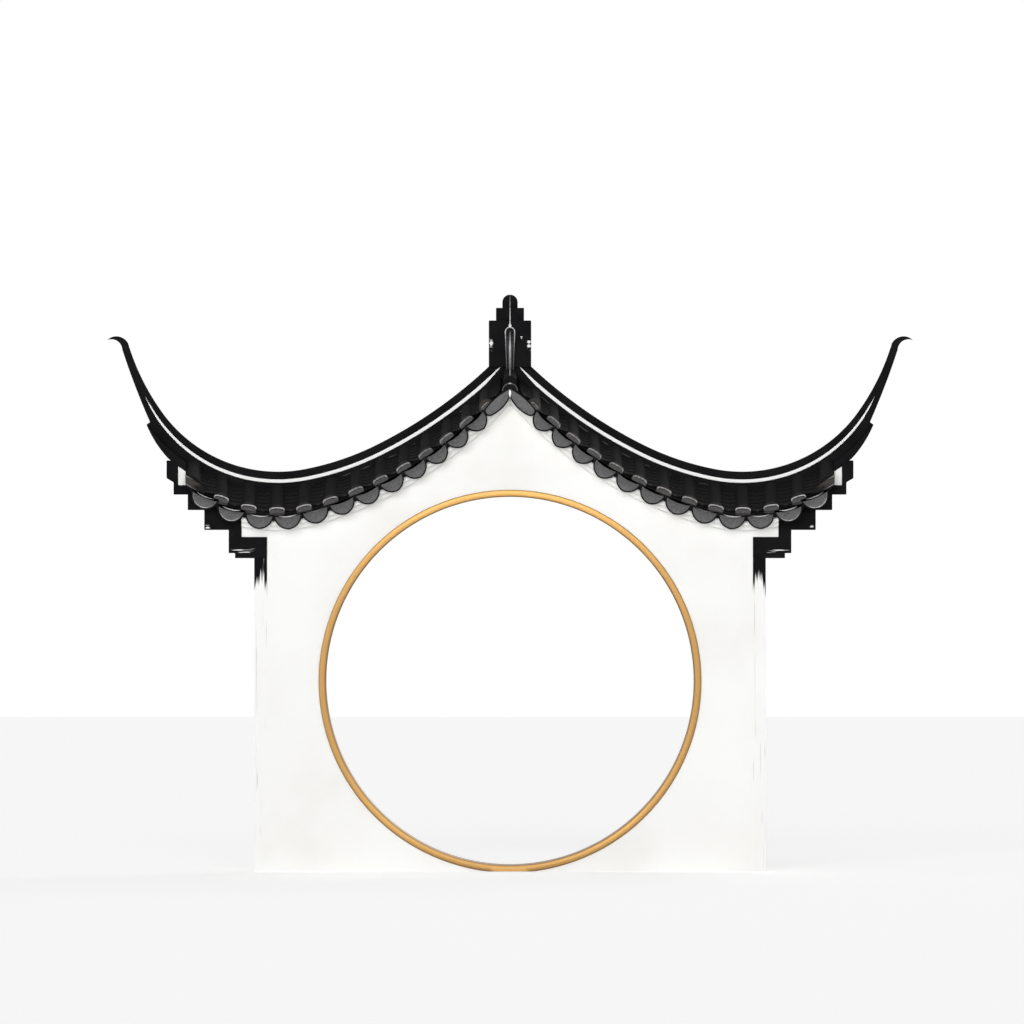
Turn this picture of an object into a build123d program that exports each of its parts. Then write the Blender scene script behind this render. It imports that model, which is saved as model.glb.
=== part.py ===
from build123d import *
import math
import os

# Moon gate: a whitewashed wall with a round opening, under a black tiled coping
# whose two concave ridges rise to horns at the ends and to a finial in the middle.
# Millimetres. X runs along the wall, Y through it with the front at -Y, Z up.
# The origin is on the ground, under the middle of the opening.

# Wall and round opening
WALL_HALF = 1531
WALL_THICKNESS = 360
STRIP_WIDTH = 77
RING_CENTRE = 1139
RING_INNER = 1104
RING_FACE = 42
RING_PROUD = 10
RING_SEGMENTS = 8

# How far the roof runs out past the wall: its last tile, then the root of the horn
VERGE_OVERHANG = 409
ROOT_OVERHANG = 553.3

# Ridge line: its height and slope over the middle, then three arcs that hollow it outwards.
# The first and last arcs have stated radii, and the one between reaches the horn's root.
RIDGE_APEX = 3153
RIDGE_SLOPE = 47.1
RIDGE_TURNS = (20.7, 15.5)
RIDGE_INNER_RADIUS = 2787
RIDGE_OUTER_RADIUS = 858
ROOT_SLOPE = -53.8

# Eave line, through the middles of the drip tiles, made the same way out to the last tile
EAVE_DROP = 268
EAVE_SLOPE = 49.0
EAVE_TURNS = (15.5, 18.4)
EAVE_INNER_RADIUS = 2550
EAVE_OUTER_RADIUS = 798
EAVE_END_SLOPE = -42.3
EAVE_REACH = 320

# Ridge courses, measured square to the ridge line. Past the closing slope, the edges of the
# white fillet close on the ridge line, each by its own amount at the horn's root.
CAP_DEPTH = 47
CAP_HALF = 60
CAP_CHAMFER = 18
FILLET_DEPTH = 20
FILLET_HALF = 50
FILLET_SPIKE = 136
CAP_CLOSE = 12
FILLET_CLOSE = 19
CLOSING_SLOPE = -5
BASE_DEPTH = 48
BASE_HALF = 70
TAIL_DEPTH = 45
TAIL_SLOPE = -40.0
TAIL_PROUD = 10

# Horn, from the outer end of the ridge
HORN_ROOT = 92
HORN_RUN = 460
HORN_BOW = 80
HORN_NECK = 50
HORN_NECK_BACK = 10
HORN_CURL = 90
HORN_TIP_HALF = 16

# Tiles: the bed's height at its front edge, then the rows. The steps between tiles, measured
# along the eave line, shrink from the first pair's to the last pair's towards the middle.
BED_EDGE = 45
DRIP_PITCHES = (179, 150)
INTERVALS = 12
FIRST_DRIP = 138
LEAN_SHARE = 0.7
DRIP_SHARE = 0.97
DRIP_DEPTH = 94
DRIP_SINK = 3
DRIP_DISH = 12
DRIP_THICKNESS = 14
LAST_DRIP_WIDTH = 250
LAST_DRIP_DEPTH = 62
LAST_DRIP_SLOPE = 41.5
LAST_DRIP_SINK = 16
COVER_WIDTH = 94
COVER_RISE = 44
COVER_NOSE = 12
COVER_PITCHES = (175.4, 149)
FIRST_COVER = 251.5
BARREL_FACETS = 3
DRIP_FACETS = 4
VERGE_WIDTH = 104
VERGE_RISE = 46

# Mitre of the two eaves: a round cover nose, with a slim key hanging from it
MITRE_SINK = 50
MITRE_RADIUS = 52
KEY_HALF = 9
KEY_HEIGHT = 52

# White cornice under the eaves, in two oversailing courses
CORNICE_COURSE = 28
CORNICE_SETBACK = 30
CORNICE_STEP = 55

# Stepped corbels at the wall ends, from the lowest course up: how far each one's end
# stands past the wall, and its underside below the corner of the eaves
STEP_REACHES = (153, 299, 398, 483)
STEP_DROPS = (400, 261, 142, 49)
CORBEL_PROUD = 10
FOOT_REACH = 115
FOOT_DEPTH = 30
FLARE = 42
FLARE_HEIGHT = 73
FLARE_RISE = 25
CORBEL_TOP = 155
LOWER_LEDGE = 97
UPPER_LEDGE = 56
UPPER_RISER = 69

# Finial over the middle
BLOCK_HALF = 127
BLOCK_DEPTH = 100
BLOCK_DROP = 133
BLOCK_HEIGHT = 280
TIER_HALF = 84
TIER_DEPTH = 75
TIER_HEIGHT = 76
KNOB_HALF = 46
KNOB_HEIGHT = 80
ARRIS = 8
ROLL_RADIUS = 31
ROLL_TOP = 109
ROLL_FOOT_HALF = 20
HIP_RADIUS = 38

# Shortest turn of an arc that is drawn, in degrees
LEAST_TURN = 0.001

half_wall = WALL_THICKNESS / 2
verge = WALL_HALF + VERGE_OVERHANG
ring_outer = RING_INNER + RING_FACE
strip_inner = WALL_HALF - STRIP_WIDTH
ridge_under = CAP_DEPTH + FILLET_DEPTH + BASE_DEPTH
high = RIDGE_APEX + BLOCK_HEIGHT


def sagging_line(apex, slope, turns, inner_radius, outer_radius, end_x, end_slope):
    """Three tangent arcs from the middle outwards to -X, which pass end_x at end_slope.

    Each arc is its centre, its radius, and its first and last slope in degrees.
    """
    slopes = (slope, slope - turns[0], slope - turns[0] - turns[1], -90)
    rises = [math.sin(math.radians(each)) for each in (*slopes[:3], end_slope)]
    other_arcs = inner_radius * (rises[0] - rises[1]) + outer_radius * (rises[2] - rises[3])
    middle_radius = (end_x - other_arcs) / (rises[1] - rises[2])
    arcs = []
    x, z = 0.0, apex
    for number, radius in enumerate((inner_radius, middle_radius, outer_radius)):
        first, last = slopes[number : number + 2]
        lean = math.radians(first)
        centre = (x - radius * math.sin(lean), z + radius * math.cos(lean))
        arcs.append((centre, radius, first, last))
        lean = math.radians(last)
        x = centre[0] + radius * math.sin(lean)
        z = centre[1] - radius * math.cos(lean)
    return arcs


def arc_at(line, slope):
    """The arc of a line that holds a slope."""
    for arc in line:
        if slope >= arc[3]:
            return arc
    return line[-1]


def at_slope(line, depth, slope):
    """Point at a depth under a line, where the line has that slope."""
    centre, radius, first, last = arc_at(line, slope)
    lean = math.radians(slope)
    reach = radius + depth
    return (centre[0] + reach * math.sin(lean), centre[1] - reach * math.cos(lean))


def slope_at(line, depth, x):
    """Slope of a line where a point at that depth under it has that x."""
    for centre, radius, first, last in line:
        share = (x - centre[0]) / (radius + depth)
        if share >= math.sin(math.radians(last)):
            return math.degrees(math.asin(share))
    return line[-1][3]


def slope_after(line, start, length):
    """Slope of a line at a length along it, inwards from a starting slope."""
    slope = start
    for centre, radius, first, last in reversed(line):
        if first <= slope:
            continue
        turn = math.degrees(length / radius)
        if slope + turn <= first or line[0][0] == centre:
            return slope + turn
        length -= math.radians(first - slope) * radius
        slope = first
    return slope


def run(line, depth, inner, outer):
    """Arcs at a depth under a line, from the inner slope to the outer one."""
    edges = []
    for arc in line:
        start = inner if arc is line[0] else min(inner, arc[2])
        end = max(outer, arc[3])
        if start - end < LEAST_TURN:
            continue
        middle = (start + end) / 2
        places = [arc_point(arc, depth, slope) for slope in (start, middle, end)]
        edges.append(ThreePointArc(*places))
    return edges


def arc_point(arc, depth, slope):
    """Point of one arc at a depth under it."""
    centre, radius, first, last = arc
    lean = math.radians(slope)
    reach = radius + depth
    return (centre[0] + reach * math.sin(lean), centre[1] - reach * math.cos(lean))


def band(upper, upper_depth, lower, lower_depth, outer_x):
    """Face between two lines, from the middle of the gate to a vertical end."""
    top = run(upper, upper_depth, slope_at(upper, upper_depth, 0), slope_at(upper, upper_depth, -outer_x))
    low = run(lower, lower_depth, slope_at(lower, lower_depth, 0), slope_at(lower, lower_depth, -outer_x))
    inner_end = Line(top[0] @ 0, low[0] @ 0)
    outer_end = Line(top[-1] @ 1, low[-1] @ 1)
    return make_face([*top, outer_end, *low, inner_end])


def course_line(depth, close):
    """A line at a depth under the ridge, which closes on the ridge towards the horn's root."""
    *inner_arcs, (centre, radius, first, last) = ridge
    turn = math.radians(CLOSING_SLOPE - ROOT_SLOPE)
    pull = close / (1 - math.cos(turn))
    lean = math.radians(CLOSING_SLOPE)
    tighter_centre = (centre[0] + pull * math.sin(lean), centre[1] - pull * math.cos(lean))
    tighter = radius + depth - pull
    end = ROOT_SLOPE - math.degrees(math.asin(pull * math.sin(turn) / tighter))
    arcs = [(middle, inner + depth, start, stop) for middle, inner, start, stop in inner_arcs]
    arcs.append((centre, radius + depth, first, CLOSING_SLOPE))
    arcs.append((tighter_centre, tighter, CLOSING_SLOPE, end))
    return arcs


def ridge_band(upper, lower):
    """Face of one ridge course, from the middle of the gate to the root of the horn."""
    top = run(upper, 0, slope_at(upper, 0, 0), upper[-1][3])
    low = run(lower, 0, slope_at(lower, 0, 0), lower[-1][3])
    inner_end = Line(top[0] @ 0, low[0] @ 0)
    outer_end = Line(top[-1] @ 1, low[-1] @ 1)
    return make_face([*top, outer_end, *low, inner_end])


def through(face, half):
    """Solid of an upright face, to both sides of the wall's middle."""
    return extrude(Plane.XZ * face, amount=half, both=True)


def front(face, near, far):
    """Solid of an upright face, from one depth to another in front of the wall's middle."""
    return extrude(Plane.XZ.offset(near) * face, amount=far - near)


def block(x_low, x_high, z_low, z_high, half):
    """Upright block centred through the wall."""
    face = Pos((x_low + x_high) / 2, (z_low + z_high) / 2) * Rectangle(x_high - x_low, z_high - z_low)
    return through(face, half)


def to_right(shape):
    return mirror(shape, about=Plane.YZ)


def to_back(shape):
    return mirror(shape, about=Plane.XZ)


def pair(name, left):
    """Writes a piece of the left half and its mirror on the right."""
    keep(name + "_left", left)
    keep(name + "_right", to_right(left))


def keep(name, shape):
    solids = list(shape.solids())
    export_step(solids[0] if len(solids) == 1 else Compound(children=solids), f"parts/{name}.step")


os.makedirs("parts", exist_ok=True)
ridge = sagging_line(
    RIDGE_APEX, RIDGE_SLOPE, RIDGE_TURNS, RIDGE_INNER_RADIUS, RIDGE_OUTER_RADIUS,
    WALL_HALF + ROOT_OVERHANG, ROOT_SLOPE,
)
eave = sagging_line(
    RIDGE_APEX - EAVE_DROP, EAVE_SLOPE, EAVE_TURNS, EAVE_INNER_RADIUS, EAVE_OUTER_RADIUS,
    verge, EAVE_END_SLOPE,
)
eave_corner = at_slope(eave, 0, EAVE_END_SLOPE)[1]


# Wall: two quarters a side round the opening, and a strip at each end
opening = Pos(0, RING_CENTRE) * Circle(ring_outer)


def under_eave(outer_x, z_low):
    """Face from a level up to the eave line, from the middle to an upright side."""
    top = run(eave, 0, slope_at(eave, 0, 0), slope_at(eave, 0, -outer_x))
    corners = [(-outer_x, z_low), (0, z_low)]
    sides = Polyline(top[-1] @ 1, *corners, top[0] @ 0)
    return make_face([*top, *sides.edges()])


upper_wall = through(under_eave(strip_inner, RING_CENTRE) - opening, half_wall)
lower_face = Pos(-strip_inner / 2, RING_CENTRE / 2) * Rectangle(strip_inner, RING_CENTRE)
lower_wall = through(lower_face - opening, half_wall)
pair("upper_wall", upper_wall)
pair("lower_wall", lower_wall)
foot_height = eave_corner - STEP_DROPS[0] - FOOT_DEPTH
pair("end_strip", block(-WALL_HALF, -strip_inner, 0, foot_height, half_wall))


# Ring: a lining of curved segments, flat under the lowest one
def ring_segment(middle):
    half_turn = 180 / RING_SEGMENTS
    ends = (middle - half_turn, middle, middle + half_turn)
    inner, outer = [
        ThreePointArc(*[(r * math.cos(math.radians(a)), r * math.sin(math.radians(a))) for a in ends])
        for r in (RING_INNER, ring_outer)
    ]
    joints = [Line(inner @ 0, outer @ 0), Line(inner @ 1, outer @ 1)]
    face = Pos(0, RING_CENTRE) * make_face([inner, outer, *joints])
    ground = Pos(0, -ring_outer / 2) * Rectangle(2 * ring_outer, ring_outer)
    return through(face - ground, half_wall + RING_PROUD)


SEGMENT_NAMES = (
    "ring_right", "ring_upper_right", "ring_crown", "ring_upper_left",
    "ring_left", "ring_lower_left", "ring_sill", "ring_lower_right",
)
for number, name in enumerate(SEGMENT_NAMES):
    keep(name, ring_segment(number * 360 / RING_SEGMENTS))


# Tile beds: ruled slopes from under the ridge down to the eave, front and back
slope_face_inner = band(ridge, ridge_under, eave, 0, verge)
bed_line = [((middle[0], middle[1] + BED_EDGE), *rest) for middle, *rest in eave]
slope_face_outer = band(bed_line, 0, eave, 0, verge)
flat_bed = front(slope_face_inner, 0, BASE_HALF)
sloping_bed = loft(
    [Plane.XZ.offset(BASE_HALF) * slope_face_inner, Plane.XZ.offset(EAVE_REACH) * slope_face_outer],
    ruled=True,
)
front_bed = flat_bed + sloping_bed
pair("tile_bed_front", front_bed)
pair("tile_bed_back", to_back(front_bed))


# Tile stations along the eave: drips on the pans, covers over the joints between them
def pitch(pitches, number):
    """Step between tiles of a row, which shrinks evenly from the verge to the middle."""
    return pitches[0] + (pitches[1] - pitches[0]) * number / (INTERVALS - 1)


def stations(start, pitches, count):
    return [start + sum(pitch(pitches, n) for n in range(number)) for number in range(count)]


drip_places = stations(FIRST_DRIP, DRIP_PITCHES, INTERVALS + 1)
cover_places = stations(FIRST_COVER, COVER_PITCHES, INTERVALS)


def eave_slope(place):
    return slope_after(eave, EAVE_END_SLOPE, place)


def tile_lean(slope, share):
    """Lean of a tile across its row, which takes a share of the slope of the turned-up end."""
    return slope if slope > 0 else share * slope


def faceted(arc, count):
    """An arc as a few straight facets."""
    return Polyline(*[arc @ (number / count) for number in range(count + 1)])


# Mitre: a round nose and its key stand before the corner where the two slopes meet
bed_peak = RIDGE_APEX - EAVE_DROP + BED_EDGE
mitre_foot = bed_peak - MITRE_SINK
key_top = mitre_foot + KEY_HALF
key_points = [(0, key_top), (-KEY_HALF, key_top - 2 * KEY_HALF), (0, key_top - KEY_HEIGHT)]
key_points.append((KEY_HALF, key_top - 2 * KEY_HALF))
key_face = make_face(Polyline(*key_points, close=True).edges())
nose_face = Pos(0, mitre_foot) * (Circle(MITRE_RADIUS) & (Pos(0, MITRE_RADIUS) * Rectangle(
    2 * MITRE_RADIUS, 2 * MITRE_RADIUS
)))
key = front(key_face + nose_face, EAVE_REACH, EAVE_REACH + COVER_NOSE)
keep("mitre_keys", Compound(children=[key, to_back(key)]))


# Drip tiles: a half-round hanging plate with a dished top and a slight point
def drip_face(width, depth):
    top, low = depth / 2, -depth / 2
    left, right = (-width / 2, top), (width / 2, top)
    dish = ThreePointArc(left, (0, top - DRIP_DISH), right)
    right_side = ThreePointArc(right, (0.385 * width, -0.16 * depth), (0, low))
    left_side = ThreePointArc((0, low), (-0.385 * width, -0.16 * depth), left)
    sides = [faceted(side, DRIP_FACETS) for side in (right_side, left_side)]
    return make_face([faceted(dish, 2), *sides])


def drip_plate(x, z, lean, width, depth):
    return front(
        Pos(x, z) * Rot(0, 0, lean) * drip_face(width, depth), EAVE_REACH, EAVE_REACH + DRIP_THICKNESS
    )


def drip(place, width):
    slope = eave_slope(place)
    return drip_plate(*at_slope(eave, DRIP_SINK, slope), tile_lean(slope, LEAN_SHARE), width, DRIP_DEPTH)


left_half = Pos(-verge / 2, 0, 0) * Box(verge, 2 * high, 4 * high)
drips = [drip(place, DRIP_SHARE * pitch(DRIP_PITCHES, n)) for n, place in enumerate(drip_places[:-1])]
last_end = drip_places[-1] - DRIP_PITCHES[1] / 2
last_x, last_z = at_slope(eave, LAST_DRIP_SINK, eave_slope(last_end + LAST_DRIP_WIDTH / 2))
last_drip = drip_plate(last_x, last_z, LAST_DRIP_SLOPE, LAST_DRIP_WIDTH, LAST_DRIP_DEPTH)
drips.append((last_drip & left_half) - key)
drips = Compound(children=[solid for piece in drips for solid in piece.solids()])
pair("drip_tiles", Compound(children=[*drips.solids(), *to_back(drips).solids()]))


# Cover tiles: barrels that lie on the bed, from the ridge down past its edge
def cover(place, lean_share, width, rise):
    slope = eave_slope(place)
    low_x, low_z = at_slope(bed_line, 0, slope)
    high_z = at_slope(ridge, ridge_under, slope_at(ridge, ridge_under, low_x))[1]
    top = Vector(low_x, -BASE_HALF, high_z)
    fall = Vector(low_x, -EAVE_REACH, low_z) - top
    lean = math.radians(tile_lean(slope, lean_share))
    section_plane = Plane(
        origin=top - fall * 0.1, x_dir=(math.cos(lean), 0, math.sin(lean)), z_dir=fall
    )
    sunk = -0.6 * BED_EDGE
    shoulder = rise / 3
    barrel = faceted(ThreePointArc((-width / 2, shoulder), (0, rise), (width / 2, shoulder)), BARREL_FACETS)
    sides = Polyline(barrel @ 1, (width / 2, sunk), (-width / 2, sunk), barrel @ 0)
    return extrude(section_plane * make_face([*barrel.edges(), *sides.edges()]), amount=fall.length * 1.3)


def slope_zone(reach):
    """The room over the front slope, from the ridge's side out to a reach."""
    return Pos(0, -(BASE_HALF + reach) / 2, 0) * Box(4 * high, reach - BASE_HALF, 4 * high)


nose_end = EAVE_REACH + COVER_NOSE
below_nose = front(band(bed_line, 0, eave, 2 * BED_EDGE, verge), EAVE_REACH, 2 * nose_end)


def seat(barrel, reach):
    """A barrel trimmed to the bed, the ridge's side, the roof's end and the row's front."""
    seated = (barrel & slope_zone(reach) & left_half) - front_bed - below_nose - drips
    return seated.solids().sort_by(SortBy.VOLUME)[-1]


covers = [seat(cover(place, LEAN_SHARE, COVER_WIDTH, COVER_RISE), nose_end) for place in cover_places]
covers = Compound(children=covers)
pair("cover_tiles", Compound(children=[*covers.solids(), *to_back(covers).solids()]))
verge_roll = seat(cover(VERGE_WIDTH / 2, 1, VERGE_WIDTH, VERGE_RISE), EAVE_REACH)
verge_rolls = [verge_roll, to_back(verge_roll)]
keep("verge_rolls", Compound(children=[*verge_rolls, *[to_right(roll) for roll in verge_rolls]]))


# Ridge courses: black cap over a white fillet over a black base
fillet_top = CAP_DEPTH + FILLET_DEPTH
ridge_line = course_line(0, 0)
cap_line = course_line(CAP_DEPTH, CAP_CLOSE)
fillet_line = course_line(fillet_top, FILLET_CLOSE)
cap = through(ridge_band(ridge_line, cap_line), CAP_HALF)
ridge_radii = [round(arc[1]) for arc in ridge]
top_edges = [edge for edge in cap.edges().filter_by(GeomType.CIRCLE) if round(edge.radius) in ridge_radii]
cap = chamfer(top_edges, CAP_CHAMFER)
pair("ridge_cap", cap)
base = through(ridge_band(fillet_line, course_line(ridge_under, 0)), BASE_HALF)
pair("ridge_base", base)

root = at_slope(ridge, 0, ROOT_SLOPE)
root_turn = 180 + ROOT_SLOPE


def from_root(face):
    """A face drawn along the ridge's end and away under it, put in its place."""
    return Pos(*root) * Rot(0, 0, root_turn) * face


cap_end, fillet_end = [math.dist(root, at_slope(line, 0, line[-1][3])) for line in (cap_line, fillet_line)]
spike_lift = FILLET_SPIKE**2 / 2 / RIDGE_OUTER_RADIUS
spike_points = [(0, cap_end), (FILLET_SPIKE, cap_end - spike_lift), (0, fillet_end)]
spike = from_root(make_face(Polyline(*spike_points, close=True).edges()))
white_line = through(ridge_band(cap_line, fillet_line) + spike, FILLET_HALF)
pair("ridge_fillet", white_line)


# Horn: tapers in depth and width to a curled tip
def horn_face():
    bend_end = (HORN_RUN, -HORN_BOW)
    tip = (HORN_RUN + HORN_CURL, HORN_CURL - HORN_BOW)
    neck = (HORN_RUN - HORN_NECK_BACK, HORN_NECK - HORN_BOW)
    outer_curl = (HORN_RUN + 0.72 * HORN_CURL, 0.22 * HORN_CURL - HORN_BOW)
    inner_curl = (HORN_RUN + 0.5 * HORN_CURL, 0.47 * HORN_CURL - HORN_BOW)
    under = (0.47 * HORN_RUN, 0.43 * HORN_ROOT)
    return make_face([
        ThreePointArc((0, 0), (HORN_RUN / 2, -HORN_BOW / 4), bend_end),
        ThreePointArc(bend_end, outer_curl, tip),
        ThreePointArc(tip, inner_curl, neck),
        ThreePointArc(neck, under, (0, HORN_ROOT)),
        Line((0, HORN_ROOT), (0, 0)),
    ])


horn_length = HORN_RUN + HORN_CURL
lean = math.radians(ROOT_SLOPE)
along = Vector(-math.cos(lean), 0, -math.sin(lean))
taper_plane = Plane(
    origin=(root[0], 0, root[1]), x_dir=along, z_dir=(math.sin(lean), 0, -math.cos(lean))
)
taper = taper_plane * make_face(Polyline(
    (0, -CAP_HALF), (horn_length, -HORN_TIP_HALF), (horn_length, HORN_TIP_HALF), (0, CAP_HALF), close=True
).edges())
horn = through(from_root(horn_face()) - spike, CAP_HALF) & extrude(taper, amount=2 * HORN_RUN, both=True)
pair("horn", horn)


# Ridge tail: the slab that closes the roof past its last tile, thinning to nothing at the horn
tail_under = ridge_under + TAIL_DEPTH
tail_inner = slope_at(ridge, tail_under, -verge)
tail_top = run(ridge, ridge_under, slope_at(ridge, ridge_under, -verge), ROOT_SLOPE)
tail_low = run(ridge, tail_under, tail_inner, TAIL_SLOPE)
tail_end = ThreePointArc(
    tail_low[-1] @ 1,
    at_slope(ridge, ridge_under + 0.58 * TAIL_DEPTH, (TAIL_SLOPE + ROOT_SLOPE) / 2),
    tail_top[-1] @ 1,
)
tail_face = make_face([*tail_top, Line(tail_top[0] @ 0, tail_low[0] @ 0), *tail_low, tail_end])
pair("ridge_tail", through(tail_face, half_wall + TAIL_PROUD))


# Everything above the undersides of the roof, which the corbels stop against
def above_roof():
    low = run(eave, 0, slope_at(eave, 0, 0), EAVE_END_SLOPE)
    step = Line(low[-1] @ 1, tail_low[0] @ 0)
    rim = Polyline(tail_end @ 1, (-2 * WALL_HALF, (tail_end @ 1).Y), (-2 * WALL_HALF, high), (0, high), low[0] @ 0)
    return make_face([*low, step, *tail_low, tail_end, *rim.edges()])


roof_side = above_roof()


# Corbels: dark stepped edging round fields of white masonry
cornice_end = STRIP_WIDTH - WALL_HALF - STEP_REACHES[0]


def corbel_faces():
    undersides = [eave_corner - drop for drop in STEP_DROPS]
    ends = [-WALL_HALF - reach for reach in STEP_REACHES]
    outline = [(-strip_inner, foot_height), (-WALL_HALF - FOOT_REACH, foot_height)]
    outline.append((-WALL_HALF - FOOT_REACH, undersides[0]))
    flare_z = undersides[-1] + FLARE_HEIGHT
    for end, underside, next_underside in zip(ends, undersides, [*undersides[1:], flare_z]):
        outline += [(end, underside), (end, next_underside)]
    flare_x = ends[-1] - FLARE
    top = eave_corner + CORBEL_TOP
    inside = flare_x + UPPER_RISER
    outline += [(flare_x, flare_z + FLARE_RISE), (flare_x, top), (inside, top), (inside, high)]
    outline.append((-strip_inner, high))
    whole = make_face(Polyline(*outline, close=True).edges()) - roof_side
    lower_field = rectangle(cornice_end, -strip_inner, undersides[0] + LOWER_LEDGE, high)
    upper_field = rectangle(inside, -verge, undersides[-1] + UPPER_LEDGE, high)
    fields = lower_field + upper_field
    return whole - fields, whole & fields


def rectangle(x_low, x_high, z_low, z_high):
    return Pos((x_low + x_high) / 2, (z_low + z_high) / 2) * Rectangle(x_high - x_low, z_high - z_low)


edging, core = corbel_faces()
pair("corbel_edging", through(edging, half_wall + CORBEL_PROUD))
pair("corbel_core", through(core, half_wall))


# Cornice: two white courses under the bed's overhang, front and back
upper_course = band(eave, 0, eave, CORNICE_COURSE, -cornice_end)
lower_course = band(eave, CORNICE_COURSE, eave, 2 * CORNICE_COURSE, -cornice_end)
cornice = front(upper_course, half_wall, EAVE_REACH - CORNICE_SETBACK)
cornice += front(lower_course, half_wall, half_wall + CORNICE_STEP)
pair("cornice", Compound(children=[*cornice.solids(), *to_back(cornice).solids()]))


# Finial: stepped blocks astride the ridges, with a round-headed knob. A low arris runs up
# the middle of their front and back.
block_low = RIDGE_APEX - BLOCK_DROP
block_top = block_low + BLOCK_HEIGHT
knob_low = block_top + TIER_HEIGHT
half_courses = [cap, white_line, base]
courses = half_courses + [to_right(piece) for piece in half_courses]


def arrised_block(half, depth, low, height):
    shoulder = depth - ARRIS
    front_points = [(-half, -shoulder), (0, -depth), (half, -shoulder)]
    back_points = [(half, shoulder), (0, depth), (-half, shoulder)]
    plan = make_face(Polyline(*front_points, *back_points, close=True).edges())
    return Pos(0, 0, low) * extrude(plan, amount=height)


def round_head(half, height):
    """Upright face with a half-round top, standing on the knob's base."""
    springing = height - half
    head_face = Pos(0, springing) * Circle(half) + Pos(0, springing / 2) * Rectangle(2 * half, springing)
    return Pos(0, knob_low) * head_face


finial_block = arrised_block(BLOCK_HALF, BLOCK_DEPTH, block_low, BLOCK_HEIGHT)
for piece in courses:
    finial_block = finial_block - piece
finial_block = finial_block.solids().sort_by(SortBy.VOLUME)[-1]
keep("finial_block", finial_block)
keep("finial_tier", arrised_block(TIER_HALF, TIER_DEPTH, block_top, TIER_HEIGHT))
knob = arrised_block(KNOB_HALF, KNOB_HALF, knob_low, KNOB_HEIGHT)
knob_head = round_head(KNOB_HALF, KNOB_HEIGHT)
knob = knob & through(knob_head, KNOB_HALF) & extrude(Plane.YZ * knob_head, amount=KNOB_HALF, both=True)
keep("finial_knob", knob)


# Centre rolls: a tall round-headed tile up the block's face, and the hip tile before it
roll_top = RIDGE_APEX + ROLL_TOP
roll_foot = at_slope(ridge, ridge_under, slope_at(ridge, ridge_under, 0))[1]
shoulder_z = roll_top - ROLL_RADIUS
roll_low = roll_foot - HIP_RADIUS
roll_face = make_face([
    Line((-ROLL_FOOT_HALF, roll_low), (ROLL_FOOT_HALF, roll_low)),
    Line((ROLL_FOOT_HALF, roll_low), (ROLL_RADIUS, shoulder_z)),
    ThreePointArc((ROLL_RADIUS, shoulder_z), (0, roll_top), (-ROLL_RADIUS, shoulder_z)),
    Line((-ROLL_RADIUS, shoulder_z), (-ROLL_FOOT_HALF, roll_low)),
])
roll_depth = Pos(0, -BLOCK_DEPTH, roll_foot) * Cylinder(ROLL_RADIUS, 4 * BLOCK_HEIGHT)
roll_depth += Pos(0, -(BLOCK_DEPTH + BASE_HALF) / 2, roll_foot) * Box(
    2 * ROLL_RADIUS, BLOCK_DEPTH - BASE_HALF, 4 * BLOCK_HEIGHT
)
roll = front(roll_face, BASE_HALF, 2 * BLOCK_DEPTH) & roll_depth
hip_start = Vector(0, -BASE_HALF, roll_foot)
hip_fall = Vector(0, -EAVE_REACH, bed_peak) - hip_start
hip_plane = Plane(origin=hip_start - hip_fall * 0.1, x_dir=(1, 0, 0), z_dir=hip_fall)
hip = extrude(hip_plane * Circle(HIP_RADIUS), amount=hip_fall.length * 1.3) & slope_zone(EAVE_REACH)
centre_roll = roll + hip
for piece in [*courses, finial_block, front_bed, to_right(front_bed)]:
    centre_roll = centre_roll - piece
centre_roll = centre_roll.solids().sort_by(SortBy.VOLUME)[-1]
keep("centre_rolls", Compound(children=[centre_roll, to_back(centre_roll)]))
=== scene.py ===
import math

import bmesh
import bpy
from mathutils import Matrix, Vector


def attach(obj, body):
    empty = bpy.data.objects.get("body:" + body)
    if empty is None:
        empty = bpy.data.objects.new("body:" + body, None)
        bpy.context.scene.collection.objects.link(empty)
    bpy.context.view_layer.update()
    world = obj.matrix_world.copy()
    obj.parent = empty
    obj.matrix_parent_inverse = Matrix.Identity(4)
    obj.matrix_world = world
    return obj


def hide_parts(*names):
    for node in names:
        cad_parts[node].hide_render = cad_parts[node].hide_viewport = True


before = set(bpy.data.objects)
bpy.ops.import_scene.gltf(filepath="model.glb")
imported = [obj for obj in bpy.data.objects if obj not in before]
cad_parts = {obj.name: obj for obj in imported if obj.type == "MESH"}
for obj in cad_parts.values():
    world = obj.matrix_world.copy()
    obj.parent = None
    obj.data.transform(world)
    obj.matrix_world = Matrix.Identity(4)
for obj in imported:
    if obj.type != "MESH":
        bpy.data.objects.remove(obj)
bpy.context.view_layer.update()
scene = bpy.context.scene
scene.view_settings.view_transform = "Standard"

# Studio. A pale level floor runs out under a white sky. One wide soft light comes from almost
# square to the gate's face, and a weak one from behind. A long lens looks level at the gate,
# square to its face, as in the photograph.
PIXEL = 0.006
FRAME_PIXELS = 1024
EYE = (0.012, -80.0, 2.152)
SKY_LIGHT = 0.32
SUN_SPREAD = 40
SUNS = (("soft sun", 2.95, (-0.1, -1.0, 0.06)), ("back fill", 0.6, (0.5, 1.0, 0.6)))
FLOOR_HALF = 60.0
FLOOR_LIFT = 0.46


def linear(colour):
    """Linear colour of an sRGB hex value."""
    shares = [int(colour[n : n + 2], 16) / 255 for n in (0, 2, 4)]
    return tuple(s / 12.92 if s <= 0.04045 else ((s + 0.055) / 1.055) ** 2.4 for s in shares) + (1.0,)


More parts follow.
